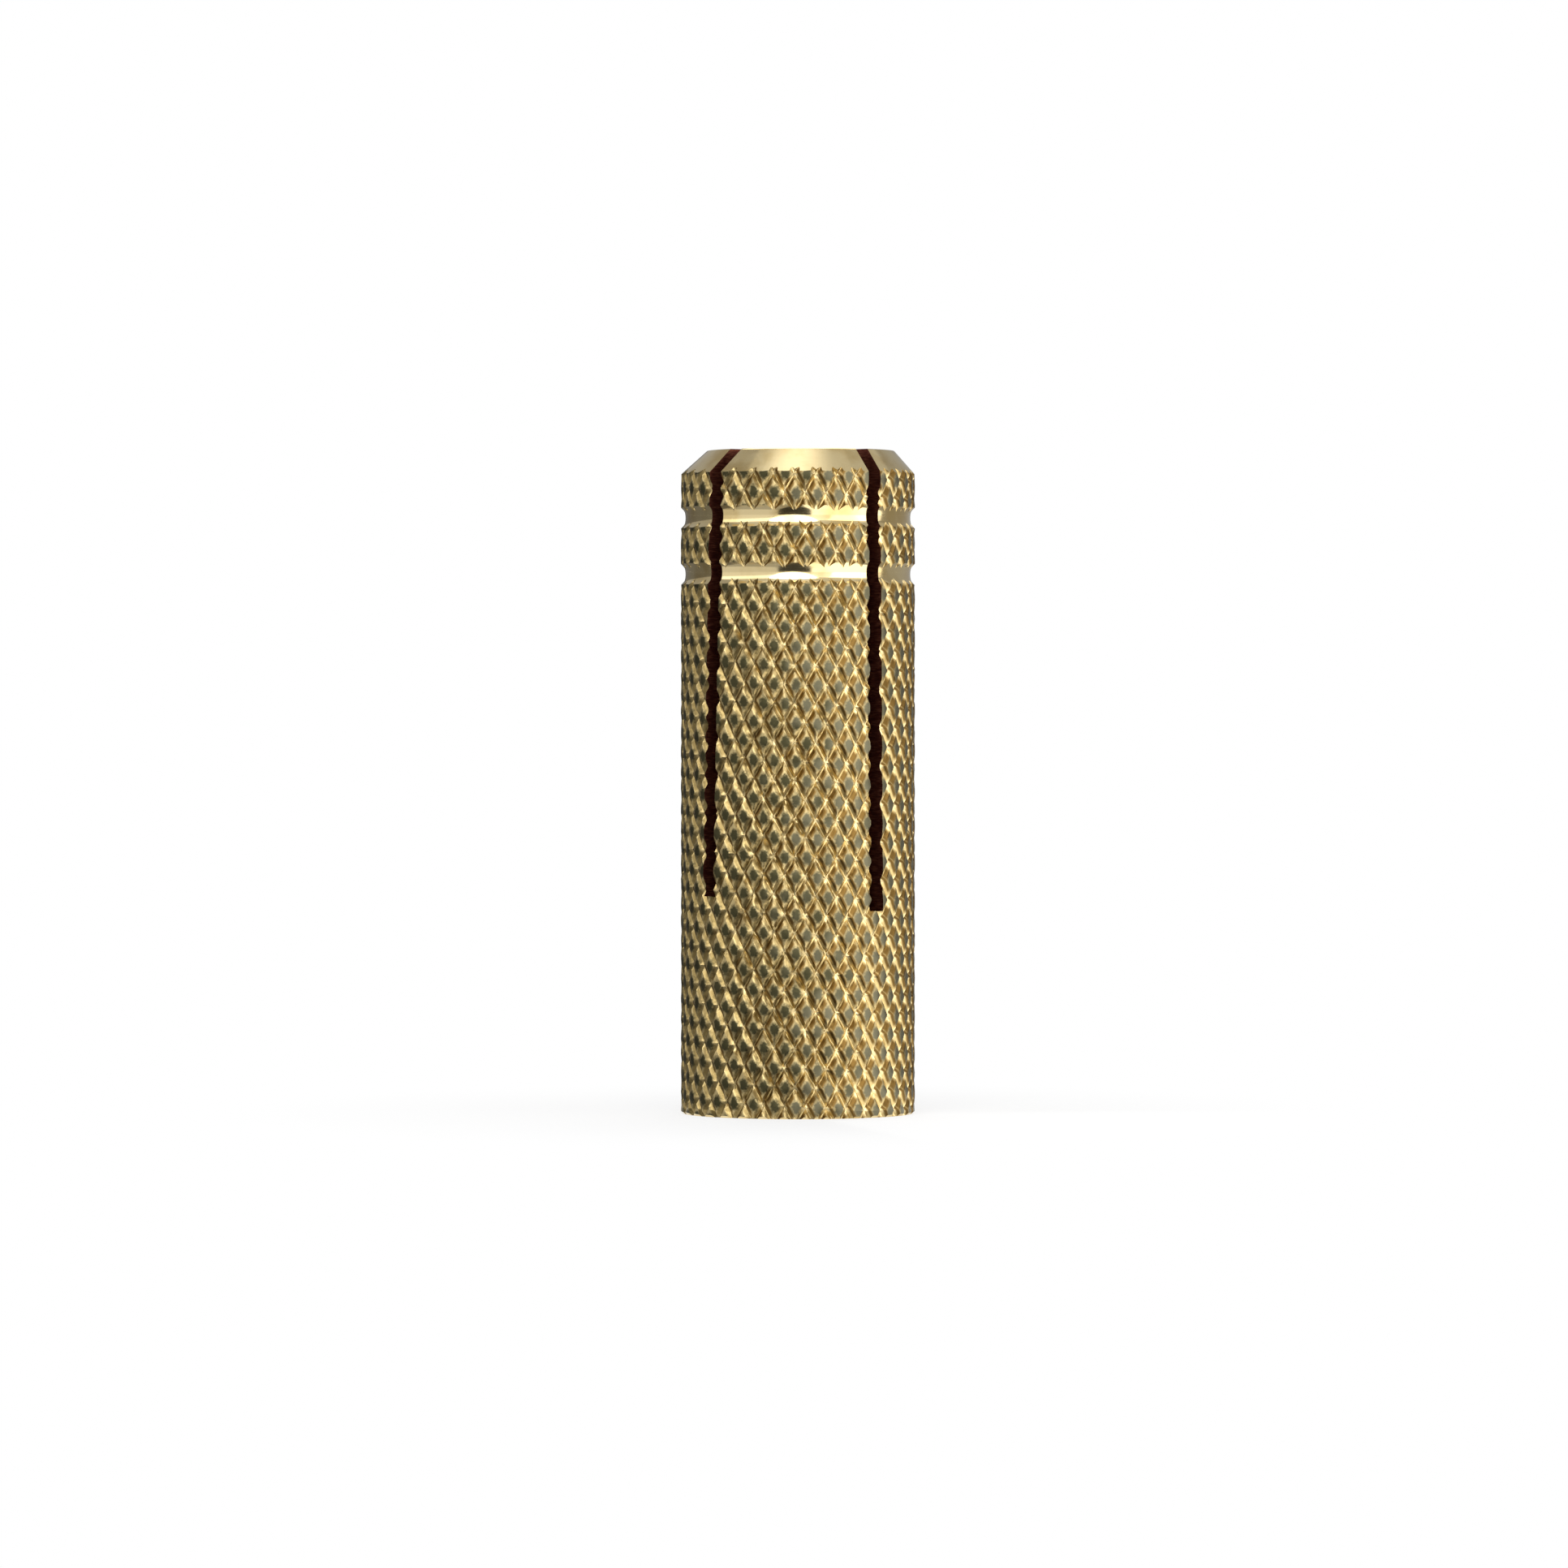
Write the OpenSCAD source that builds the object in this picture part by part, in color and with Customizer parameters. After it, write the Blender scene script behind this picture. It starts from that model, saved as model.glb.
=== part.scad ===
// Knurled expansion insert, turned, slit and threaded from one length of brass bar.
// It stands on its plain end with its slit nose up. Millimetres, Z up, front towards -Y.

/* [Sleeve] */
// Overall length
sleeve_length = 28; // [25:0.5:31]
// Diameter of the bar over the knurl
sleeve_d = 9.9; // [9.5:0.1:10.9]
// Chamfer round the nose, at 45 degrees
nose_chamfer = 1; // [0.4:0.05:1.2]
// Broken edge round the foot, at 45 degrees
foot_break = 0.1; // [0.05:0.05:0.3]

/* [Knurl] */
// Pitch measured across the valleys
knurl_pitch = 0.8; // [0.75:0.05:1.2]
// Angle between the valleys and the axis, degrees
knurl_helix = 30; // [26:1:38]
// Starts moved from the rising to the falling helix, which tips the rows of diamonds
knurl_lean = 1; // [0:1:3]
// Depth of the rolled valleys
knurl_depth = 0.17; // [0.1:0.01:0.19]
// Share of the pitch left as bar surface on top of each diamond
knurl_flat = 0.6; // [0.3:0.05:0.7]
// Angle from the front to one crossing of the valleys, degrees
knurl_turn = -1.6; // [-5:0.1:5]
// Height of that crossing over the foot
knurl_lift = -0.28; // [-0.8:0.02:0.8]

/* [Ring grooves] */
// Width at the bar's surface
groove_w = 0.9; // [0.65:0.05:1.2]
// Width at the bottom
groove_floor = 0.5; // [0.3:0.05:0.6]
// Depth, more than the knurl's
groove_depth = 0.2; // [0.2:0.01:0.3]
// From the nose to the middle of the upper groove
groove_drop = 2.84; // [2.2:0.02:4]
// Between the middles of the two grooves
groove_step = 2.38; // [1.4:0.02:4]

/* [Saw slots] */
// Width of the saw blade
slot_w = 0.66; // [0.4:0.02:1.2]
// Radius of the saw blade
saw_r = 30; // [22:1:50]
// Depth from the nose of the pass that starts at the left front
slot_left = 18.75; // [12:0.05:21]
// Depth from the nose of the pass that starts at the right front
slot_right = 19.35; // [12:0.05:21]
// Turn of the left pass from the front, degrees
left_turn = -47; // [-60:0.5:-40]
// Turn of the right pass from the front, degrees
right_turn = 41.5; // [35:0.5:55]
// Lean of the left pass out of the axis, degrees
left_lean = 1.5; // [-2:0.1:2]
// Lean of the right pass out of the axis, degrees
right_lean = -0.5; // [-2:0.1:2]

/* [Thread] */
// Wall between the bar's surface and the thread's greatest diameter
thread_wall = 0.95; // [0.9:0.05:1.5]
// Pitch of the thread
thread_pitch = 1.25; // [0.75:0.05:1.5]
// Length from the foot to the end of the thread
thread_length = 16; // [8:0.5:20]
// Length of the taper past the thread, which the screw forces open
taper_length = 7; // [2:0.5:8]
// How far the taper closes in from the thread's core
taper_close = 0.7; // [0.2:0.05:1]
// Clearance round the screw at the countersunk mouth
mouth_clear = 0.05; // [0.02:0.01:0.1]

/* [Hidden] */
$fn = 96;
overshoot = 1;
brass = [0.8, 0.68, 0.4];

sleeve_r = sleeve_d / 2;

// Each helix has a whole number of starts, and the two cross at every half step round the bar.
starts = round(PI * sleeve_d * cos(knurl_helix) / knurl_pitch);
falling = starts + knurl_lean;
half_steps = 2 * starts;
axial_pitch = knurl_pitch / sin(knurl_helix);
valley_r = sleeve_r - knurl_depth;
apex_r = valley_r + knurl_depth / (1 - knurl_flat);

// The knurl runs past the foot and up into the nose chamfer.
knurl_low = -0.6 * axial_pitch;
knurl_high = sleeve_length - nose_chamfer + knurl_depth + 0.6 * axial_pitch;
rows = ceil((knurl_high - knurl_low) / axial_pitch) + 2;

// How much a groove's flank opens per millimetre of depth.
groove_flare = (groove_w - groove_floor) / 2 / groove_depth;

// The screw fills the bar up to the wall. The thread's core is drilled, as deep as a 60 degree thread needs.
thread_r = sleeve_r - thread_wall;
thread_depth = 5 / 8 * thread_pitch * cos(30);
core_r = thread_r - thread_depth;
mouth_r = thread_r + mouth_clear;
nose_r = core_r - taper_close;

// A column's first and last diamond, counted in steps along the axis.
function step_over(z, column) = ceil((z - knurl_lift) / axial_pitch + falling * column / half_steps - 0.5);
function lowest(column) = step_over(knurl_low, column);
function highest(column) = step_over(knurl_high, column) - 1;

// The same column and step, counted within one turn of the bar.
function wrapped(column, step) =
    column < 0 ? [column + half_steps, step + falling]
    : column >= half_steps ? [column - half_steps, step - falling]
    : [column, step];

function has_diamond(cell) = cell[1] >= lowest(cell[0]) && cell[1] <= highest(cell[0]);
function crossing_index(cell) = cell[0] * rows + cell[1] - lowest(cell[0]) + 1;

// A point of the knurl's lattice at a given radius.
function lattice_point(column, step, r) =
    let (angle = knurl_turn + 180 * column / starts)
    [
        r * sin(angle),
        -r * cos(angle),
        knurl_lift + axial_pitch * (step - falling * column / half_steps)
    ];

// Four-sided points between the valleys of both helices, closed far past the foot and the nose.
module knurl() {
    columns = [0 : half_steps - 1];
    diamonds = [for (column = columns, step = [lowest(column) : highest(column)]) [column, step]];
    crossings = [
        for (column = columns, row = [-1 : rows - 2])
            lattice_point(column, lowest(column) + row, valley_r)
    ];
    apexes = [for (d = diamonds) lattice_point(d[0], d[1] + 0.5, apex_r)];
    ends = [[0, 0, -sleeve_length], [0, 0, 3 * sleeve_length]];
    foot_end = len(crossings) + len(apexes);
    nose_end = foot_end + 1;
    faces = [
        for (i = [0 : len(diamonds) - 1])
            let (
                column = diamonds[i][0],
                step = diamonds[i][1],
                apex = len(crossings) + i,
                bottom = crossing_index([column, step]),
                top = crossing_index([column, step + 1]),
                left = crossing_index(wrapped(column - 1, step)),
                right = crossing_index(wrapped(column + 1, step + 1))
            )
            each [
                [left, top, apex],
                [top, right, apex],
                [right, bottom, apex],
                [bottom, left, apex],
                if (!has_diamond(wrapped(column - 1, step - 1))) [left, bottom, foot_end],
                if (!has_diamond(wrapped(column + 1, step))) [bottom, right, foot_end],
                if (!has_diamond(wrapped(column - 1, step))) [top, left, nose_end],
                if (!has_diamond(wrapped(column + 1, step + 1))) [right, top, nose_end],
            ]
    ];
    polyhedron(concat(crossings, apexes, ends), faces);
}

// The forming tool of a groove, with a flat nose and slanted flanks, set to its depth at the bar's surface.
module groove_tool() {
    flare = groove_flare * overshoot;
    polygon([
        [-groove_depth, -groove_floor / 2],
        [overshoot, -groove_w / 2 - flare],
        [overshoot, groove_w / 2 + flare],
        [-groove_depth, groove_floor / 2],
    ]);
}

// The bar as the lathe leaves it: chamfered, edge broken and grooved.
module turned_bar() {
    rotate_extrude()
        difference() {
            polygon([
                [0, 0],
                [sleeve_r - foot_break, 0],
                [sleeve_r, foot_break],
                [sleeve_r, sleeve_length - nose_chamfer],
                [sleeve_r - nose_chamfer, sleeve_length],
                [0, sleeve_length],
            ]);
            for (drop = [groove_drop, groove_drop + groove_step])
                translate([sleeve_r, sleeve_length - drop])
                    groove_tool();
        }
}

// Countersunk mouth, core of the thread, closing taper and nose hole.
module bore() {
    rotate_extrude()
        polygon([
            [0, -overshoot],
            [mouth_r + overshoot, -overshoot],
            [core_r, mouth_r - core_r],
            [core_r, thread_length],
            [nose_r, thread_length + taper_length],
            [nose_r, sleeve_length + overshoot],
            [0, sleeve_length + overshoot],
        ]);
}

// One plunge of the saw from the nose, right across the sleeve.
module saw_pass(turn, lean, depth) {
    rotate([0, 0, turn])
        translate([0, 0, sleeve_length - depth / 2])
            rotate([0, lean, 0])
                translate([0, 0, sqrt(saw_r * saw_r - sleeve_r * sleeve_r) - depth / 2])
                    rotate([0, 90, 0])
                        cylinder(r = saw_r, h = slot_w, center = true);
}

module sleeve() {
    color(brass)
        intersection() {
            difference() {
                turned_bar();
                bore();
                saw_pass(left_turn, left_lean, slot_left);
                saw_pass(right_turn, right_lean, slot_right);
            }
            knurl();
        }
}

sleeve();
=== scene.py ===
"""Looks of the knurled expansion insert: one sleeve, knurled, turned, slit and threaded."""
import math

import bmesh
import bpy
import numpy as np
from mathutils import Matrix, Vector

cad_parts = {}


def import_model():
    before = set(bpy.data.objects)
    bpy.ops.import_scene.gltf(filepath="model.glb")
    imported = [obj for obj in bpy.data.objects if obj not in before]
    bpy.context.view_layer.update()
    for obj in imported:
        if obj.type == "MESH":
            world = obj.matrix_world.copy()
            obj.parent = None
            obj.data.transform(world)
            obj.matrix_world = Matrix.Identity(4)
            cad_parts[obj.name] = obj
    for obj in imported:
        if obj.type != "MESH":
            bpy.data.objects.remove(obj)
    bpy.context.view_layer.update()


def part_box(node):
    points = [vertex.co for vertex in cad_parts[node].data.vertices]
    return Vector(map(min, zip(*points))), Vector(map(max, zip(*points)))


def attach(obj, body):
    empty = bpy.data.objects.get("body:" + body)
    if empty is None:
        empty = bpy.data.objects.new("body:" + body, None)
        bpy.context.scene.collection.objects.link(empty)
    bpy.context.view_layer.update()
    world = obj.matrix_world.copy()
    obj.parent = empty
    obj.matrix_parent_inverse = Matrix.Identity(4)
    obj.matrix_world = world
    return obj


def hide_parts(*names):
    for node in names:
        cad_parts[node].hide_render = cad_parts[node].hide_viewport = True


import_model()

MM = 0.001

# Sleeve, in millimetres, with its length and diameter read from model.glb
foot_corner, nose_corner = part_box("sleeve")
LENGTH = (nose_corner[2] - foot_corner[2]) / MM
BAR_R = (nose_corner[0] - foot_corner[0]) / MM / 2
NOSE_CHAMFER = 1.0
# The chamfer was turned a little askew: how far it leans to the right per millimetre of height
NOSE_LEAN = 0.12
FOOT_BREAK = 0.1
# Broken rim of the nose: its size, and the shares of it that its points lie outwards and down
RIM_BREAK = 0.06
RIM_CURVE = [(0.7, 0.7), (0.1, 0.15), (-0.6, 0)]
# How far the lathe's outline clears the knurl
SKIN = 0.06
LATHE_SIDES = 288

# Knurl: valleys of two helices, with flat-topped diamonds between them
STARTS = 34
FALLING = 35
RISING = 2 * STARTS - FALLING
HALF_STEPS = 2 * STARTS
AXIAL_PITCH = 1.6
KNURL_DEPTH = 0.17
# One crossing of the valleys: degrees from the front, and height over the foot
KNURL_TURN = -1.6
KNURL_LIFT = -0.28
KNURL_OVERRUN = 1.0
SPARE_STEPS = 2
# From a valley to a diamond's middle: share of the pitch, and share of the depth that is left
HALF_SECTION = [(0, 1), (0.045, 0.93), (0.17, 0.18), (0.26, 0.04), (0.5, 0)]
# A diamond's top falls by the crown at this height from its middle
CROWN = 0.012
CROWN_TALL = 0.3
# Spread of the tops' slopes and of every point's depth
TOP_TILT = 0.025
UNEVEN = 0.009
SEED = 7
# More than the points along any helix, so that two counts make one number
KEY_SPAN = 10 ** 6

# Ring grooves
GROOVE_W = 0.9
GROOVE_FLOOR = 0.5
GROOVE_DEPTH = 0.2
GROOVE_FLARE = (GROOVE_W - GROOVE_FLOOR) / 2 / GROOVE_DEPTH
GROOVE_HOLLOW = 0.03
GROOVE_CORNER = 0.02
GROOVE_DROPS = [2.84, 5.22]
GROOVE_STEPS = 20

# Saw slots: turn from the front, lean, and depth from the nose
SLOT_W = 0.66
SAW_R = 30.0
SAW_SIDES = 180
SAW_PASSES = [(-47.0, 1.5, 18.75), (41.5, -0.5, 19.35)]

# Bore and thread
THREAD_R = 4.0
THREAD_PITCH = 1.25
THREAD_LENGTH = 16.0
# Shares of the pitch that a flank and the flat at the core take up
THREAD_FLANK = 5 / 16
THREAD_FLAT = 1 / 4
THREAD_DEPTH = 5 / 8 * THREAD_PITCH * math.cos(math.radians(30))
CORE_R = THREAD_R - THREAD_DEPTH
MOUTH_CLEAR = 0.05
MOUTH_R = THREAD_R + MOUTH_CLEAR
TAPER_LENGTH = 7.0
TAPER_CLOSE = 0.7
NOSE_R = CORE_R - TAPER_CLOSE
RUN_OUT = 1.0
BORE_SIDES = 60
ROWS_PER_TURN = 12
TAPER_ROWS = 8
OVERSHOOT = 0.5

# Points closer than this after the cuts become one
MERGE = 0.0001

# Shading: edges sharper than this angle stay crisp, and large faces count for this much
SHARP_ANGLE = 40
LARGE_FACE_WEIGHT = 60

# Material slots of the sleeve, in this order
KNURLED, TURNED, SAWN, THREADED = range(4)


def turned_point(angle, r, z):
    """A point at an angle from the front towards the right, in millimetres."""
    return np.stack(np.broadcast_arrays(r * np.sin(angle), -r * np.cos(angle), z), axis=-1)


def circle(sides):
    """Angles of points spread evenly round a circle."""
    return np.linspace(0, 2 * math.pi, sides, endpoint=False)


def make_object(name, points, faces, slot, materials):
    """A mesh object from points in millimetres, all in one material slot."""
    mesh = bpy.data.meshes.new(name)
    mesh.from_pydata((np.asarray(points) * MM).tolist(), [], [list(map(int, f)) for f in faces])
    for material in materials:
        mesh.materials.append(material)
    mesh.polygons.foreach_set("material_index", [slot] * len(mesh.polygons))
    mesh.update()
    obj = bpy.data.objects.new(name, mesh)
    bpy.context.scene.collection.objects.link(obj)
    return obj


def knurl_cells():
    """Columns and steps of the diamonds that lie between the foot and the nose."""
    low = -KNURL_OVERRUN
    high = LENGTH - NOSE_CHAMFER + KNURL_DEPTH + KNURL_OVERRUN
    steps = np.arange(-SPARE_STEPS, int(high / AXIAL_PITCH) + FALLING + SPARE_STEPS + 1)
    column, step = np.meshgrid(np.arange(HALF_STEPS), steps, indexing="ij")
    middle = KNURL_LIFT + AXIAL_PITCH * (step + 0.5 - FALLING * column / HALF_STEPS)
    kept = (middle > low) & (middle < high)
    return column[kept], step[kept]


def knurl_drop(along, across, tilts):
    """How far the surface lies under the bar's, at places within a diamond."""
    near = np.minimum(np.minimum(along, 1 - along), np.minimum(across, 1 - across))
    share, left = zip(*HALF_SECTION)
    drop = KNURL_DEPTH * np.interp(near, share, left)
    wide = (along - across) * math.pi * BAR_R / STARTS
    tall = (along + across - 1) * AXIAL_PITCH / 2
    on_top = np.clip((near - share[2]) / (share[3] - share[2]), 0, 1)
    crown = CROWN * (tall / CROWN_TALL) ** 2 + tilts[0] * wide + tilts[1] * tall
    return drop + on_top * crown


def knurled_bar(materials):
    """A closed bar covered in diamonds, meshed along the valleys of both helices."""
    half = [share for share, _ in HALF_SECTION]
    spread = np.array(half + [1 - share for share in reversed(half[:-1])])
    parts = len(spread) - 1
    column, step = knurl_cells()
    chance = np.random.default_rng(SEED)
    tilts = chance.normal(0, TOP_TILT, (2, len(column), 1, 1))

    tick = np.arange(parts + 1)
    a, b = np.meshgrid(tick, tick, indexing="ij")
    along = np.broadcast_to(spread[a], (len(column), parts + 1, parts + 1))
    across = np.broadcast_to(spread[b], along.shape)
    drop = knurl_drop(along, across, tilts)

    falling = step[:, None, None] + along
    rising = (step - column)[:, None, None] + across
    angle = np.radians(KNURL_TURN + 180 * (falling - rising) / STARTS)
    z = KNURL_LIFT + AXIAL_PITCH * (falling - FALLING * (falling - rising) / HALF_STEPS)

    # The same point of two neighbours, or of the first and last column, gets the same number
    fall_tick = step[:, None, None] * parts + a
    rise_tick = (step - column)[:, None, None] * parts + b
    turns = np.floor_divide(fall_tick - rise_tick, HALF_STEPS * parts)
    fall_tick = fall_tick - turns * FALLING * parts
    rise_tick = rise_tick + turns * RISING * parts
    key = fall_tick * KEY_SPAN + rise_tick
    _, first, number = np.unique(key, return_index=True, return_inverse=True)
    number = number.reshape(key.shape)
    drop = drop.reshape(-1)[first] + chance.normal(0, UNEVEN, len(first))
    points = turned_point(angle.reshape(-1)[first], BAR_R - np.maximum(drop, 0), z.reshape(-1)[first])

    faces = cell_triangles(number, parts)
    points, faces = close_ends(points, faces)
    return make_object("knurled_bar", points, faces, KNURLED, materials)


def cell_triangles(number, parts):
    """Two triangles for each patch of a diamond, split along the diamond's own diagonals."""
    low_low, high_low = number[:, :-1, :-1], number[:, 1:, :-1]
    high_high, low_high = number[:, 1:, 1:], number[:, :-1, 1:]
    tick = np.arange(parts)
    upright = ((tick[:, None] < parts // 2) == (tick[None, :] < parts // 2))[None]
    upright = np.broadcast_to(upright, low_low.shape)
    corner = np.where(upright, low_low, high_low)
    opposite = np.where(upright, high_high, low_high)
    first = np.stack([corner, np.where(upright, high_low, high_high), opposite], axis=-1)
    second = np.stack([corner, opposite, np.where(upright, low_high, low_low)], axis=-1)
    return np.concatenate([first.reshape(-1, 3), second.reshape(-1, 3)])


def close_ends(points, faces):
    """Fans the open edges at the foot and the nose to one point each."""
    start = faces.reshape(-1)
    end = np.roll(faces, -1, axis=1).reshape(-1)
    count = len(points)
    open_edge = ~np.isin(start * count + end, end * count + start)
    start, end = start[open_edge], end[open_edge]
    at_foot = points[start, 2] < LENGTH / 2
    tip = np.where(at_foot, count, count + 1)
    fan = np.stack([end, start, tip], axis=-1)
    tips = [[0, 0, -LENGTH / 4], [0, 0, LENGTH * 5 / 4]]
    return np.concatenate([points, tips]), np.concatenate([faces, fan])


def ring_solid(name, rings, split, slot, materials):
    """A closed solid from rings of points, each end fanned to the axis, in split or whole faces."""
    sides = len(rings[0])
    middles = [[0, 0, rings[0][0, 2]], [0, 0, rings[-1][0, 2]]]
    points = np.concatenate([*rings, middles])
    last = (len(rings) - 1) * sides
    bottom, top = len(points) - 2, len(points) - 1
    faces = []
    for i in range(sides):
        j = (i + 1) % sides
        faces.append([bottom, j, i])
        faces.append([top, last + i, last + j])
        for low in range(0, last, sides):
            high = low + sides
            if split:
                faces.append([low + i, low + j, high + j])
                faces.append([low + i, high + j, high + i])
            else:
                faces.append([low + i, low + j, high + j, high + i])
    return make_object(name, points, faces, slot, materials)


def groove_section(drop):
    """A gently hollow bottom between slanted flanks, with rounded corners, from lower to upper edge."""
    reach = GROOVE_W / 2 + SKIN * GROOVE_FLARE
    off = np.linspace(-reach, reach, GROOVE_STEPS + 1)
    bottom = GROOVE_HOLLOW * (2 * off / GROOVE_FLOOR) ** 2 - GROOVE_DEPTH
    flank = (np.abs(off) - GROOVE_W / 2) / GROOVE_FLARE
    rise = GROOVE_CORNER * np.logaddexp(bottom / GROOVE_CORNER, flank / GROOVE_CORNER)
    return list(zip(BAR_R + rise, LENGTH - drop + off))


def lathe_profile():
    """Outline of the turned bar, a skin outside the knurl so that only its cuts show."""
    outer = BAR_R + SKIN
    profile = [(BAR_R - FOOT_BREAK, 0), (outer, FOOT_BREAK + SKIN)]
    for drop in reversed(GROOVE_DROPS):
        profile += groove_section(drop)
    profile.append((outer, LENGTH - NOSE_CHAMFER - SKIN))
    rim_r = BAR_R - NOSE_CHAMFER
    profile += [(rim_r + RIM_BREAK * out, LENGTH - RIM_BREAK * down) for out, down in RIM_CURVE]
    return profile


def lathe(materials):
    """The bar as the lathe leaves it, as a solid to keep."""
    angle = circle(LATHE_SIDES)
    rings = [turned_point(angle, r, z) for r, z in lathe_profile()]
    return ring_solid("lathe", rings, False, TURNED, materials)


def thread_radius(angle, z):
    """Radius of the threaded hole: a right-hand 60 degree thread that runs out at its end."""
    phase = np.mod(z / THREAD_PITCH - angle / (2 * math.pi), 1)
    from_root = np.abs(phase - 0.5)
    height = np.clip((0.5 - THREAD_FLAT / 2 - from_root) / THREAD_FLANK, 0, 1)
    height = height * np.clip((THREAD_LENGTH - z) / RUN_OUT, 0, 1)
    return CORE_R + THREAD_DEPTH * height


def bore_radius(angle, z):
    """Radius of the whole hole: countersunk mouth, thread, taper and nose hole."""
    taper = np.clip((z - THREAD_LENGTH) / TAPER_LENGTH, 0, 1)
    drilled = CORE_R + (NOSE_R - CORE_R) * taper
    threaded = np.where(z < THREAD_LENGTH, thread_radius(angle, z), drilled)
    return np.maximum(threaded, MOUTH_R - z)


def bore_heights():
    """Rows of the bore's mesh, close together along the thread."""
    thread = np.arange(0, THREAD_LENGTH, THREAD_PITCH / ROWS_PER_TURN)
    taper = np.linspace(THREAD_LENGTH, THREAD_LENGTH + TAPER_LENGTH, TAPER_ROWS)
    return np.concatenate([[-OVERSHOOT], thread, taper, [LENGTH + OVERSHOOT]])


def bore(materials):
    """The hole right through the sleeve, as a solid to cut away."""
    angle = circle(BORE_SIDES)
    rings = [turned_point(angle, bore_radius(angle, z), z) for z in bore_heights()]
    return ring_solid("bore", rings, True, THREADED, materials)


def saw_blade(turn, lean, depth, materials):
    """One plunge of the saw, right across the sleeve."""
    angle = circle(SAW_SIDES)
    y, z = SAW_R * np.cos(angle), SAW_R * np.sin(angle)
    sides = [np.stack(np.broadcast_arrays(x, y, z), axis=-1) for x in (-SLOT_W / 2, SLOT_W / 2)]
    points = np.concatenate(sides)
    near = list(range(SAW_SIDES))
    faces = [list(reversed(near)), [SAW_SIDES + i for i in near]]
    for i in near:
        j = (i + 1) % SAW_SIDES
        faces.append([i, j, SAW_SIDES + j, SAW_SIDES + i])
    blade = make_object("saw_blade", points, faces, SAWN, materials)
    rise = math.sqrt(SAW_R ** 2 - BAR_R ** 2) - depth / 2
    place = (
        Matrix.Rotation(math.radians(turn), 4, "Z")
        @ Matrix.Translation(Vector((0, 0, LENGTH - depth / 2)) * MM)
        @ Matrix.Rotation(math.radians(lean), 4, "Y")
        @ Matrix.Translation(Vector((0, 0, rise)) * MM)
    )
    blade.data.transform(place)
    return blade


def combine(body, cutter, operation):
    """Adds one boolean step to the body."""
    step = body.modifiers.new(cutter.name, "BOOLEAN")
    step.operation = operation
    step.solver = "MANIFOLD"
    step.object = cutter


def cut_sleeve(materials):
    """The knurled bar, turned, drilled, threaded and slit, as one mesh."""
    bar = knurled_bar(materials)
    outline = lathe(materials)
    hole = bore(materials)
    blades = [saw_blade(*saw_pass, materials) for saw_pass in SAW_PASSES]
    combine(bar, outline, "INTERSECT")
    for cutter in [hole, *blades]:
        combine(bar, cutter, "DIFFERENCE")
    seen = bpy.context.evaluated_depsgraph_get()
    mesh = bpy.data.meshes.new_from_object(bar.evaluated_get(seen))
    for used in [bar, outline, hole, *blades]:
        bpy.data.objects.remove(used)
    mesh.name = "insert"
    drop_slivers(mesh)
    lean_nose(mesh)
    return mesh


def drop_slivers(mesh):
    """Joins the points that the cuts left on top of each other, and drops the faces that vanish."""
    work = bmesh.new()
    work.from_mesh(mesh)
    bmesh.ops.remove_doubles(work, verts=work.verts, dist=MERGE * MM)
    work.to_mesh(mesh)
    work.free()


def read_all(items, field, kind, size=1):
    """One field of every item of a mesh, as an array."""
    values = np.empty(size * len(items), kind)
    items.foreach_get(field, values)
    return values


def lean_nose(mesh):
    """Leans the chamfered end to the right."""
    points = read_all(mesh.vertices, "co", float, 3).reshape(-1, 3)
    points[:, 0] += NOSE_LEAN * np.maximum(points[:, 2] - (LENGTH - NOSE_CHAMFER) * MM, 0)
    mesh.vertices.foreach_set("co", points.ravel())


def part_cuts(mesh):
    """Keeps the edges sharp where differently made faces meet."""
    corners = read_all(mesh.polygons, "loop_total", int)
    slot = np.repeat(read_all(mesh.polygons, "material_index", int), corners)
    edge = read_all(mesh.loops, "edge_index", int)
    lowest = np.full(len(mesh.edges), THREADED)
    highest = np.full(len(mesh.edges), KNURLED)
    np.minimum.at(lowest, edge, slot)
    np.maximum.at(highest, edge, slot)
    sharp = read_all(mesh.edges, "use_edge_sharp", bool)
    mesh.edges.foreach_set("use_edge_sharp", sharp | (lowest < highest))


def shade(obj):
    """Smooth shading that keeps cut edges crisp and flat faces flat."""
    mesh = obj.data
    mesh.shade_smooth()
    mesh.set_sharp_from_angle(angle=math.radians(SHARP_ANGLE))
    part_cuts(mesh)
    weighted = obj.modifiers.new("weighted_normals", "WEIGHTED_NORMAL")
    weighted.keep_sharp = True
    weighted.weight = LARGE_FACE_WEIGHT


# Range that nearly all noise lies in
NOISE_LOW = 0.3
NOISE_HIGH = 0.7
# Places of the colour sockets on a mix node
MIX_A, MIX_B, MIX_RESULT = 6, 7, 2


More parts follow.
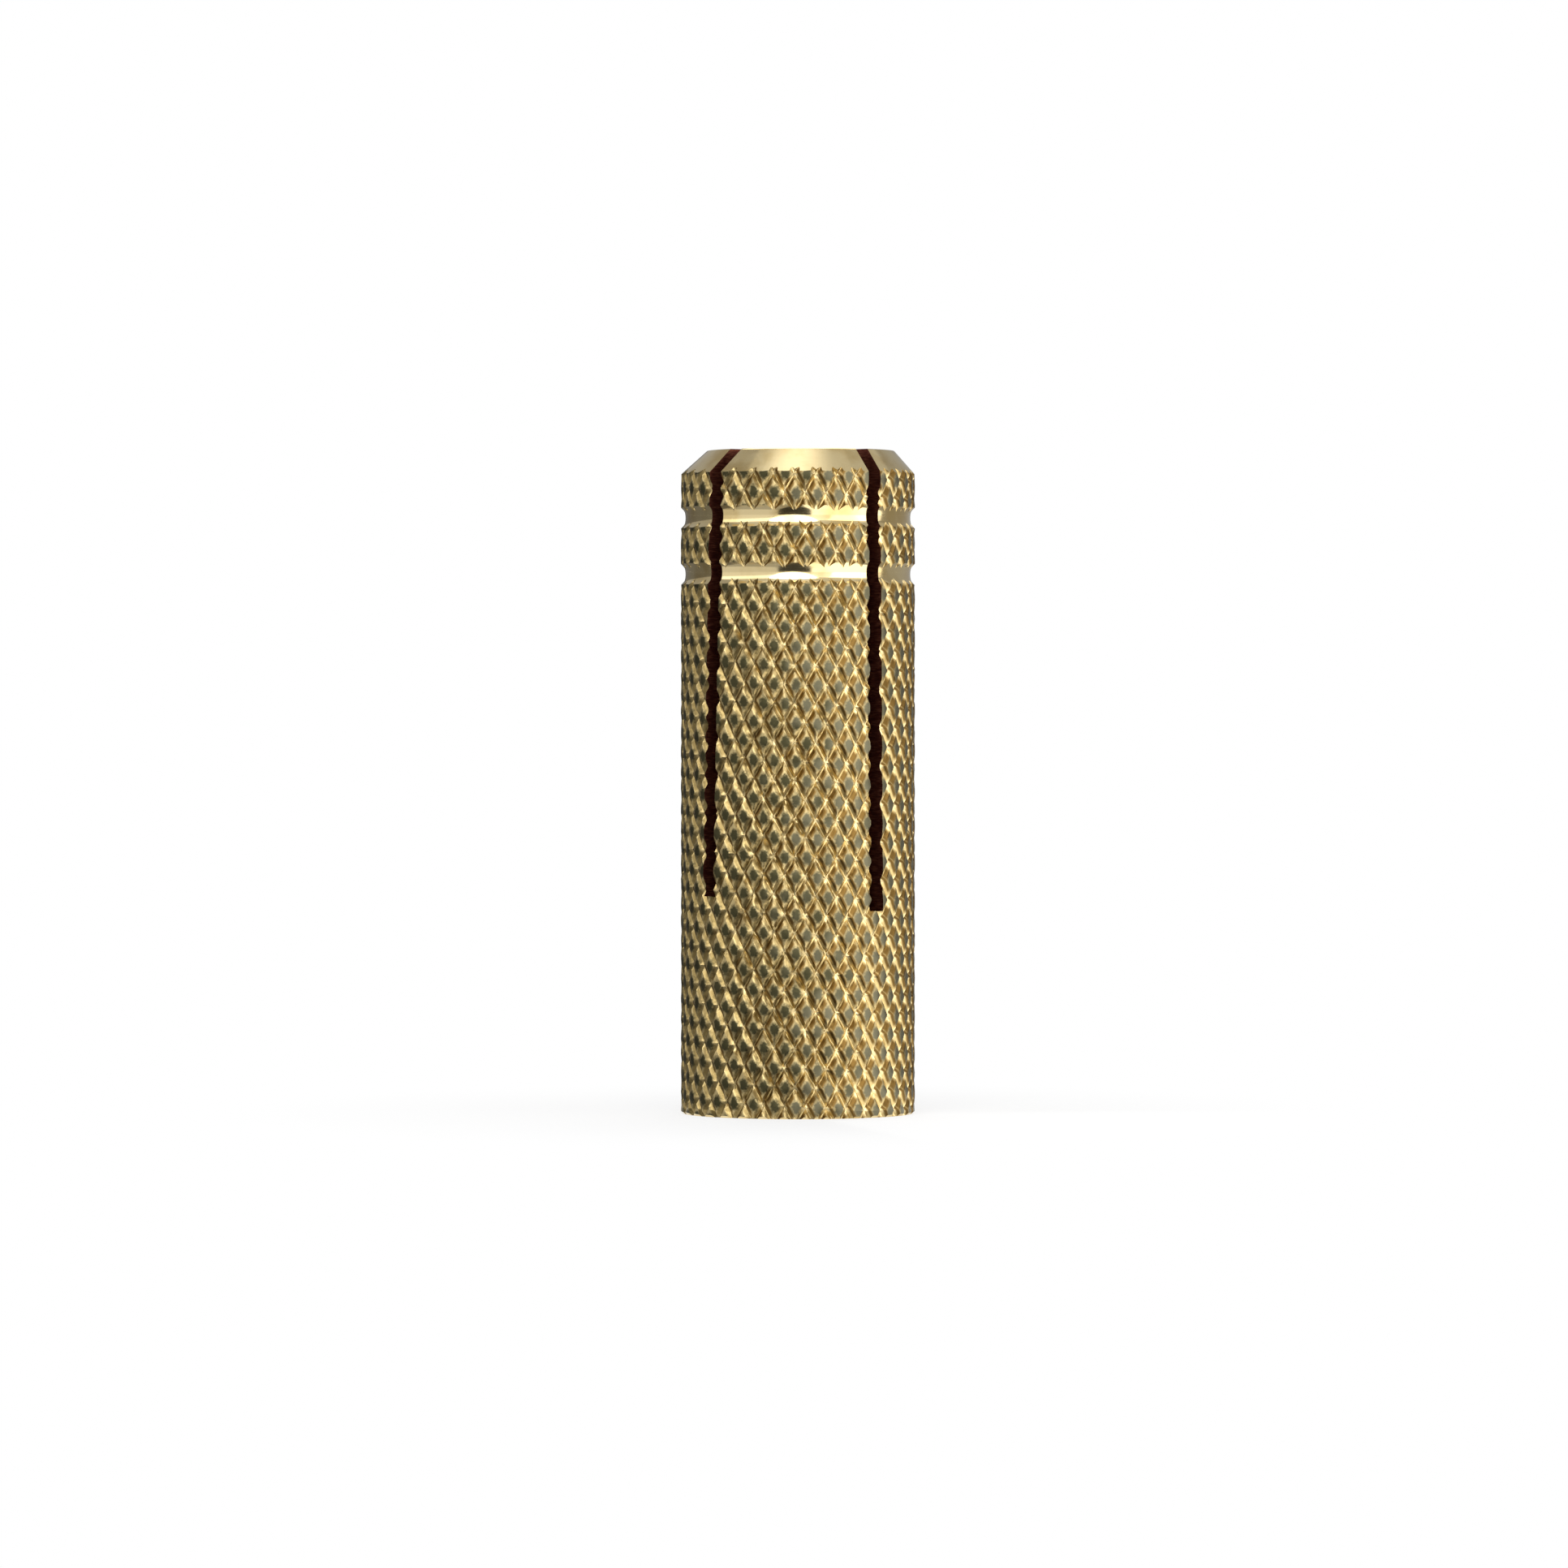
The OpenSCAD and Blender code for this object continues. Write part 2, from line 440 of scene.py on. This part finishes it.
class Nodes:
    """A short way to add and link the nodes of one material."""

    def __init__(self, name):
        self.material = bpy.data.materials.new(name)
        self.material.use_nodes = True
        self.tree = self.material.node_tree
        self.shader = self.tree.nodes["Principled BSDF"]
        self.output = self.tree.nodes["Material Output"]

    def add(self, kind, values=None, **settings):
        """A new node with its settings and inputs."""
        node = self.tree.nodes.new(kind)
        for key, value in settings.items():
            setattr(node, key, value)
        for key, value in (values or {}).items():
            self.put(node.inputs[key], value)
        return node

    def put(self, socket, value):
        """Links an input to another socket, or gives it a value."""
        if isinstance(value, bpy.types.NodeSocket):
            self.tree.links.new(value, socket)
        else:
            socket.default_value = value

    def position(self):
        """Place on the object, in metres."""
        return self.add("ShaderNodeTexCoord").outputs["Object"]

    def radius(self, position):
        """Distance from the upright axis."""
        flat = self.add("ShaderNodeVectorMath", {0: position, 1: (1, 1, 0)}, operation="MULTIPLY")
        return self.add("ShaderNodeVectorMath", {0: flat.outputs[0]}, operation="LENGTH").outputs["Value"]

    def ramp(self, value, low, high, to_low=0.0, to_high=1.0):
        """A smooth step from one range to another."""
        values = {"Value": value, "From Min": low, "From Max": high, "To Min": to_low, "To Max": to_high}
        return self.add("ShaderNodeMapRange", values, interpolation_type="SMOOTHSTEP").outputs["Result"]

    def band(self, value, rise, fall):
        """1 between a rise and a fall, and 0 outside."""
        return self.math("MULTIPLY", self.ramp(value, *rise), self.ramp(value, *fall))

    def spread(self, noise, low, high):
        """Noise stretched to run from low to high."""
        return self.ramp(noise, NOISE_LOW, NOISE_HIGH, low, high)

    def noise(self, position, scale, detail=3.0):
        """Smooth noise, mostly near a half."""
        values = {"Vector": position, "Scale": scale, "Detail": detail}
        return self.add("ShaderNodeTexNoise", values).outputs["Fac"]

    def math(self, operation, *values):
        """One step of arithmetic."""
        return self.add("ShaderNodeMath", dict(enumerate(values)), operation=operation).outputs[0]

    def mix(self, share, a, b):
        """A colour that runs from a to b with the share."""
        node = self.add("ShaderNodeMix", data_type="RGBA")
        self.put(node.inputs["Factor"], share)
        self.put(node.inputs[MIX_A], a)
        self.put(node.inputs[MIX_B], b)
        return node.outputs[MIX_RESULT]

    def metal(self, colour, roughness, relief, strength, depth):
        """The finished material: metal with a fine relief."""
        values = {"Height": relief, "Strength": strength, "Distance": depth}
        self.put(self.shader.inputs["Base Color"], colour)
        self.put(self.shader.inputs["Metallic"], 1)
        self.put(self.shader.inputs["Roughness"], roughness)
        self.put(self.shader.inputs["Normal"], self.add("ShaderNodeBump", values).outputs["Normal"])
        return self.material

    def glow(self, radiance):
        """An even white glow."""
        values = {"Color": WHITE, "Strength": radiance}
        return self.add("ShaderNodeEmission", values).outputs[0]


# Colours, linear
WHITE = (1, 1, 1, 1)
BRASS = (0.83, 0.67, 0.365, 1)
BRASS_DEEP = (0.66, 0.48, 0.2, 1)
# Painted highlight at the crossings of the valleys, and a painted shaded copy of it for the left side
CROSSING_HIGHLIGHT = (0.74, 0.59, 0.305, 1)
CROSSING_HIGHLIGHT_SHADED = (0.31, 0.233, 0.103, 1)
PATINA = (0.58, 0.435, 0.187, 1)
# Patina painted in shade, for the left side of the sleeve away from the light
PATINA_SHADED = (0.24, 0.174, 0.068, 1)
SHOULDER = (0.37, 0.286, 0.134, 1)
# Shoulders' tone on the left side, part of the painted light and shade that runs across the sleeve
SHOULDER_PALE = (0.52, 0.405, 0.195, 1)
# Painted shade: dark brown on the walls at the left of each diamond, which face away from the light
SHADE_STREAK = (0.13, 0.075, 0.02, 1)
BAR_SKIN = (0.056, 0.05, 0.024, 1)
# Skin painted paler on the right, where the light falls
BAR_SKIN_LIT = (0.145, 0.131, 0.082, 1)
# Painted shade inside the narrow saw slots, darker and browner
SLOT_SHADE_DARK = (0.13, 0.032, 0.022, 1)
SLOT_SHADE_BROWN = (0.24, 0.09, 0.05, 1)

# Dull patch on a diamond: its half axes and its place from the middle, in millimetres
PATCH_WIDE = 0.205
PATCH_TALL = 0.295
PATCH_RIGHT = 0.065
PATCH_UP = -0.03
# Where its edge fades, and how ragged it is, in shares of its size
PATCH_FADE = (1.35, 0.6)
PATCH_RAGGED = 0.15

# Where the zones of a diamond fade in or out, in shares of the pitch from a valley
SHOULDER_FADE = (0.13, 0.22)
CROSSING_FADE = (0.26, 0.14)
# The painted shade streaks lie on the walls at the left of each diamond
LONG_SHADE_FADES = (0.07, 0.15), (0.33, 0.22)
LONG_SHADE_START = (0.15, 0.4)
SHORT_SHADE_FADES = (0.65, 0.79), (1.0, 0.94)
SHORT_SHADE_ENDS = (0.12, 0.36)

# Where the painted shade on the metal gives way to painted light, where the short painted shade streaks
# set in, and where the skin is painted paler, from left to right in metres
LIT_SIDE = (-4 * MM, 4 * MM)
SHORT_SHADE_SIDE = (-3.8 * MM, -1.6 * MM)
PALER = (-1 * MM, 3.2 * MM)
# How far the noise shifts these places
LIT_SIDE_SHIFT = 2.5 * MM
SHADE_SHIFT = 1.5 * MM

# Noise scales, in waves per metre
SPECKLE = 9000
MOTTLE = 3500
# Wobbles the edges where the painted shade streaks set in and where the skin is painted paler
SHADE_WOBBLE = 700
TOOL_RINGS = 16000
TURNED_STAIN = 600
SAW_SCRATCHES = 2500
THREAD_STAIN = 900
# How much finer the saw's scratches are along X, Y and Z
SCRATCH_STRETCH = (1, 1, 9)

# Noise at which a stain or a scratch sets in, and at which it is full
TURNED_FADE = (0.4, 0.7)
SCRATCH_FADE = (0.4, 0.75)
THREAD_FADE = (0.35, 0.65)

# Least and greatest roughness
KNURL_ROUGH = (0.38, 0.46)
TURNED_ROUGH = (0.08, 0.16)
SAWN_ROUGH = (0.4, 0.55)
THREAD_ROUGH = (0.26, 0.36)

# Fine relief: strength, and depth in metres
KNURL_RELIEF = (0.5, 0.01 * MM)
TURNED_RELIEF = (0.12, 0.003 * MM)
SAWN_RELIEF = (0.3, 0.006 * MM)
THREAD_RELIEF = (0.1, 0.003 * MM)


def knurl_places(n, place):
    """Where a place lies between the valleys, how far from the dull patch, and how far to the right."""
    x, y, z = [n.add("ShaderNodeSeparateXYZ", {0: place}).outputs[i] for i in range(3)]
    angle = n.math("ARCTAN2", x, n.math("MULTIPLY", y, -1.0))
    column = n.math("MULTIPLY_ADD", angle, STARTS / math.pi, -KNURL_TURN * STARTS / 180)
    climb = n.math("MULTIPLY_ADD", z, 1 / (AXIAL_PITCH * MM), -KNURL_LIFT / AXIAL_PITCH)
    falling = n.math("MULTIPLY_ADD", column, FALLING / HALF_STEPS, climb)
    rising = n.math("SUBTRACT", falling, column)
    to_valley = [n.math("PINGPONG", lines, 0.5) for lines in (falling, rising)]
    past = [n.math("FRACT", lines) for lines in (falling, rising)]
    off = [n.math("SUBTRACT", share, 0.5) for share in past]
    wide_scale = math.pi * BAR_R / STARTS / PATCH_WIDE
    tall_scale = AXIAL_PITCH / 2 / PATCH_TALL
    wide = n.math("MULTIPLY_ADD", n.math("SUBTRACT", *off), wide_scale, -PATCH_RIGHT / PATCH_WIDE)
    tall = n.math("MULTIPLY_ADD", n.math("ADD", *off), tall_scale, -PATCH_UP / PATCH_TALL)
    from_middle = n.math("SQRT", n.math("MULTIPLY_ADD", wide, wide, n.math("MULTIPLY", tall, tall)))
    return to_valley, past, from_middle, x


def knurl_material():
    """Patinated walls, crossings painted lighter as a highlight, brown painted shade on the walls at the
    left of each diamond, dull drawn skin on top of each diamond, and painted light and shade from left to
    right.
    """
    n = Nodes("knurled_brass")
    place = n.position()
    to_valley, (past_falling, past_rising), from_middle, across = knurl_places(n, place)
    speckle = n.noise(place, SPECKLE, detail=2.0)
    shade_wobble = n.noise(place, SHADE_WOBBLE, detail=2.0)
    mottle = n.noise(place, MOTTLE, detail=2.0)
    near = n.math("MINIMUM", *to_valley)
    far = n.math("MAXIMUM", *to_valley)

    ragged = n.math("ADD", from_middle, n.spread(speckle, -PATCH_RAGGED, PATCH_RAGGED))
    dull = n.ramp(ragged, *PATCH_FADE)
    # Painted light and shade across the sleeve: walls and crossings are painted darker on the left, away
    # from the light, and the shoulders change tone with them
    shifted = n.math("ADD", across, n.spread(mottle, -LIT_SIDE_SHIFT, LIT_SIDE_SHIFT))
    lit_side = n.ramp(shifted, *LIT_SIDE)
    wall = n.mix(lit_side, PATINA_SHADED, PATINA)
    crossing = n.mix(lit_side, CROSSING_HIGHLIGHT_SHADED, CROSSING_HIGHLIGHT)
    shoulder = n.mix(lit_side, SHOULDER_PALE, SHOULDER)
    # The crossings of the valleys are painted lighter, a painted highlight
    valley = n.mix(n.ramp(far, *CROSSING_FADE), wall, crossing)
    before_shade = n.mix(n.ramp(near, *SHOULDER_FADE), valley, shoulder)

    # Painted shade on the walls at the left of each diamond: long marks at the lower left, and short ones
    # at the upper left from the middle towards the right
    low_left = n.band(past_falling, *LONG_SHADE_FADES)
    long_shade = n.math("MULTIPLY", low_left, n.ramp(past_rising, *LONG_SHADE_START))
    high_left = n.band(past_rising, *SHORT_SHADE_FADES)
    shade_across = n.math("ADD", across, n.spread(shade_wobble, -SHADE_SHIFT, SHADE_SHIFT))
    mid_wall = n.math("MULTIPLY", n.ramp(to_valley[0], *SHORT_SHADE_ENDS), n.ramp(shade_across, *SHORT_SHADE_SIDE))
    short_shade = n.math("MULTIPLY", high_left, mid_wall)
    metal = n.mix(n.math("MAXIMUM", long_shade, short_shade), before_shade, SHADE_STREAK)
    # The dull skin is painted paler towards the right, where the light falls
    skin = n.mix(n.ramp(shade_across, *PALER), BAR_SKIN, BAR_SKIN_LIT)
    colour = n.mix(dull, metal, skin)
    return n.metal(colour, n.ramp(dull, 0, 1, *KNURL_ROUGH), speckle, *KNURL_RELIEF)


def turned_material():
    """Bright turned brass with fine rings left by the tool."""
    n = Nodes("turned_brass")
    place = n.position()
    height = n.add("ShaderNodeSeparateXYZ", {0: place}).outputs["Z"]
    ring_place = n.add("ShaderNodeCombineXYZ", {"X": n.radius(place), "Y": height}).outputs[0]
    rings = n.noise(ring_place, TOOL_RINGS, detail=2.0)
    stain = n.noise(place, TURNED_STAIN)
    colour = n.mix(n.ramp(stain, *TURNED_FADE), BRASS, BRASS_DEEP)
    return n.metal(colour, n.spread(rings, *TURNED_ROUGH), rings, *TURNED_RELIEF)


def sawn_material():
    """Slot walls painted dark red-brown as the shade inside the narrow slots, with the saw's scratches."""
    n = Nodes("sawn_brass")
    values = {"Vector": n.position(), "Scale": SCRATCH_STRETCH}
    stretched = n.add("ShaderNodeMapping", values).outputs[0]
    scratches = n.noise(stretched, SAW_SCRATCHES)
    colour = n.mix(n.ramp(scratches, *SCRATCH_FADE), SLOT_SHADE_DARK, SLOT_SHADE_BROWN)
    return n.metal(colour, n.spread(scratches, *SAWN_ROUGH), scratches, *SAWN_RELIEF)


def thread_material():
    """Cut thread, a little duller than the turned faces."""
    n = Nodes("threaded_brass")
    stain = n.noise(n.position(), THREAD_STAIN)
    colour = n.mix(n.ramp(stain, *THREAD_FADE), BRASS, BRASS_DEEP)
    return n.metal(colour, n.spread(stain, *THREAD_ROUGH), stain, *THREAD_RELIEF)


def insert():
    """The whole sleeve, in place of its solid."""
    materials = [knurl_material(), turned_material(), sawn_material(), thread_material()]
    obj = bpy.data.objects.new("insert", cut_sleeve(materials))
    bpy.context.scene.collection.objects.link(obj)
    shade(obj)
    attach(obj, "root")
    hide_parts("sleeve")


# Camera: the photograph's width, scale and places in pixels, and the eye's distance in millimetres
PHOTO = 1932
PX_PER_MM = 29.13
AXIS_X = 983.1
FOOT_Y = 1371.5
EYE_Y = 869.0
EYE_BACK = 312.0
# Sensor in millimetres, and the nearest and farthest that is drawn in metres
SENSOR = 36
CLIP_NEAR = 0.01
CLIP_FAR = 20


def camera():
    """An eye at the photograph's distance, turned so that the sleeve lies where it does there."""
    data = bpy.data.cameras.new("camera")
    data.sensor_width = SENSOR
    focal_px = EYE_BACK * PX_PER_MM
    data.lens = SENSOR * focal_px / PHOTO
    data.clip_start = CLIP_NEAR
    data.clip_end = CLIP_FAR
    obj = bpy.data.objects.new("camera", data)
    bpy.context.scene.collection.objects.link(obj)
    eye_height = (FOOT_Y - EYE_Y) / PX_PER_MM
    obj.location = Vector((0, -EYE_BACK, eye_height)) * MM
    pitch = math.atan((PHOTO / 2 - EYE_Y) / focal_px)
    yaw = math.atan((AXIS_X - PHOTO / 2) / focal_px)
    obj.rotation_euler = (math.radians(90) - pitch, 0, yaw)
    bpy.context.scene.camera = obj


# The floor's shadow fades out between these distances from the sleeve, in metres
SHADOW_NEAR = 0.006
SHADOW_FAR = 0.026
# Share of white that hides the shadow next to the sleeve
SHADOW_WHITE = 0.75
# The world's light on what isn't seen directly, and the floor itself
WORLD_GLOW = 0.45
FLOOR_GREY = (0.9, 0.9, 0.9, 1)
FLOOR_ROUGH = 0.9
FLOOR_HALF = 4.0


def seen_directly(n):
    """1 for rays from the eye, from metal and through glass."""
    path = n.add("ShaderNodeLightPath")
    share = n.math("MAXIMUM", path.outputs["Is Camera Ray"], path.outputs["Is Glossy Ray"])
    return n.math("MAXIMUM", share, path.outputs["Is Transmission Ray"])


class WorldNodes(Nodes):
    """The same helper for the world's own tree."""

    def __init__(self, world):
        world.use_nodes = True
        self.tree = world.node_tree
        self.shader = self.tree.nodes["Background"]


def world():
    """White wherever it is seen, and a soft grey light on everything else."""
    made = bpy.data.worlds.new("studio")
    bpy.context.scene.world = made
    n = WorldNodes(made)
    n.put(n.shader.inputs["Color"], WHITE)
    n.put(n.shader.inputs["Strength"], n.ramp(seen_directly(n), 0, 1, WORLD_GLOW, 1.0))


def square(half, height):
    """Corners of a level square over the origin."""
    return [(-half, -half, height), (half, -half, height), (half, half, height), (-half, half, height)]


def plate(name, corners, material):
    """A four-cornered sheet of one material."""
    mesh = bpy.data.meshes.new(name)
    mesh.from_pydata(corners, [], [(0, 1, 2, 3)])
    mesh.materials.append(material)
    obj = bpy.data.objects.new(name, mesh)
    bpy.context.scene.collection.objects.link(obj)
    return obj


def floor():
    """A wide pale floor that is white where it is seen, but keeps the sleeve's shadow near it."""
    n = Nodes("floor")
    n.put(n.shader.inputs["Base Color"], FLOOR_GREY)
    n.put(n.shader.inputs["Roughness"], FLOOR_ROUGH)
    white = n.ramp(n.radius(n.position()), SHADOW_NEAR, SHADOW_FAR, SHADOW_WHITE, 1.0)
    share = n.math("MULTIPLY", seen_directly(n), white)
    both = n.add("ShaderNodeMixShader", {0: share, 1: n.shader.outputs[0], 2: n.glow(1.0)})
    n.put(n.output.inputs["Surface"], both.outputs[0])
    obj = plate("floor", square(FLOOR_HALF, 0), n.material)


# The sleeve's middle, in metres
MIDDLE = Vector((0, 0, LENGTH / 2 * MM))


def around(azimuth, elevation, distance):
    """A point seen from the sleeve's middle at an azimuth from the front towards the right."""
    a, e = math.radians(azimuth), math.radians(elevation)
    return MIDDLE + distance * Vector((math.sin(a) * math.cos(e), -math.cos(a) * math.cos(e), math.sin(e)))


# Share of its bounding rectangle that a lamp fills
LAMP_AREA = {"RECTANGLE": 1.0, "ELLIPSE": math.pi / 4}
# Lamps: their distance in metres, then shape, azimuth and elevation, size in metres, and glow
LAMP_DISTANCE = 0.6
LAMPS = {
    "front_lamp": ("ELLIPSE", (-5, 31), (0.5, 0.75), 2.3),
    "right_lamp": ("RECTANGLE", (55, 14), (0.45, 0.3), 1.2),
    "rear_lamp": ("ELLIPSE", (180, 58), (0.45, 0.3), 2.4),
}


def softbox(name, shape, direction, size, radiance):
    """A lamp that faces the sleeve, with an even glow."""
    data = bpy.data.lights.new(name, "AREA")
    data.shape = shape
    data.size, data.size_y = size
    data.energy = 4 * size[0] * size[1] * radiance * LAMP_AREA[shape]
    obj = bpy.data.objects.new(name, data)
    obj.location = around(*direction, LAMP_DISTANCE)
    facing = obj.location - MIDDLE
    obj.rotation_euler = facing.to_track_quat("Z", "Y").to_euler()
    bpy.context.scene.collection.objects.link(obj)


def lights():
    """A tall lamp at the front from the eye upwards, a wide one at the right and a high one behind."""
    for name, lamp in LAMPS.items():
        softbox(name, *lamp)


def card(name, corners, radiance, middle_radiance=None):
    """A card that only shows in the metal, and may glow differently over the sleeve."""
    n = Nodes(name)
    if middle_radiance is not None:
        place = n.add("ShaderNodeVectorMath", {0: n.position(), 1: (-ZENITH_X, 0, 0)}).outputs[0]
        radiance = n.ramp(n.radius(place), ZENITH_NEAR, ZENITH_FAR, middle_radiance, radiance)
    n.put(n.output.inputs["Surface"], n.glow(radiance))
    obj = plate(name, corners, n.material)
    obj.visible_camera = False
    obj.visible_diffuse = False
    obj.visible_shadow = False


# Upright cards round the sleeve: azimuths, elevations and glow
WALL_CARDS = {
    "left_card": ((-95, -22), (-0.7, 12), 0.9),
    "left_middle_card": ((-95, -22), (12, 35), 1.7),
    "left_high_card": ((-95, -22), (35, 60), 0.75),
    "right_card": ((14, 95), (-0.7, 25), 1.5),
    "right_high_card": ((14, 95), (25, 60), 0.8),
    "rear_left_card": ((-178, -95), (-0.7, 10), 0.17),
    "rear_left_high_card": ((-178, -95), (10, 60), 0.4),
    "rear_right_card": ((95, 182), (-0.7, 30), 0.38),
    "rear_right_high_card": ((95, 182), (30, 60), 0.54),
}
# Cards on the floor: azimuths, nearest and farthest reach in millimetres, and glow
FLOOR_CARDS = {
    "front_floor_card": ((-20, 13), (6, 1150), 0.05),
    "left_near_floor_card": ((-95, -20), (6, 40), 0.45),
    "left_floor_card": ((-95, -20), (40, 1150), 0.74),
    "right_floor_card": ((14, 95), (6, 1150), 2.0),
    "rear_left_floor_card": ((-178, -95), (6, 1150), 0.17),
    "rear_right_floor_card": ((95, 182), (6, 1150), 0.38),
}
# The ceiling glows most over the sleeve: place across, and distances from there in metres
CEILING_GLOW = 0.63
ZENITH_GLOW = 1.6
ZENITH_X = -0.04
ZENITH_NEAR = 0.02
ZENITH_FAR = 0.4
# How far the cards lie from the sleeve or over the floor, and half the ceiling's width, in metres
CARD_REACH = 1.2
CEILING_HEIGHT = 1.0
CEILING_HALF = 0.7
FLOOR_CARD_LIFT = 0.0003


def cards():
    """A tent of cards that the metal shows: bright at the sides, dim behind, dark before the foot."""
    for name, ((left, right), (low, high), radiance) in WALL_CARDS.items():
        places = [(left, low), (right, low), (right, high), (left, high)]
        card(name, [around(a, e, CARD_REACH) for a, e in places], radiance)
    for name, ((left, right), (near, far), radiance) in FLOOR_CARDS.items():
        places = [(left, near), (right, near), (right, far), (left, far)]
        corners = [around(a, 0, reach * MM) for a, reach in places]
        card(name, [(c.x, c.y, FLOOR_CARD_LIFT) for c in corners], radiance)
    card("ceiling_card", square(CEILING_HALF, CEILING_HEIGHT), CEILING_GLOW, ZENITH_GLOW)


insert()
camera()
world()
floor()
lights()
cards()
bpy.context.scene.view_settings.view_transform = "Standard"
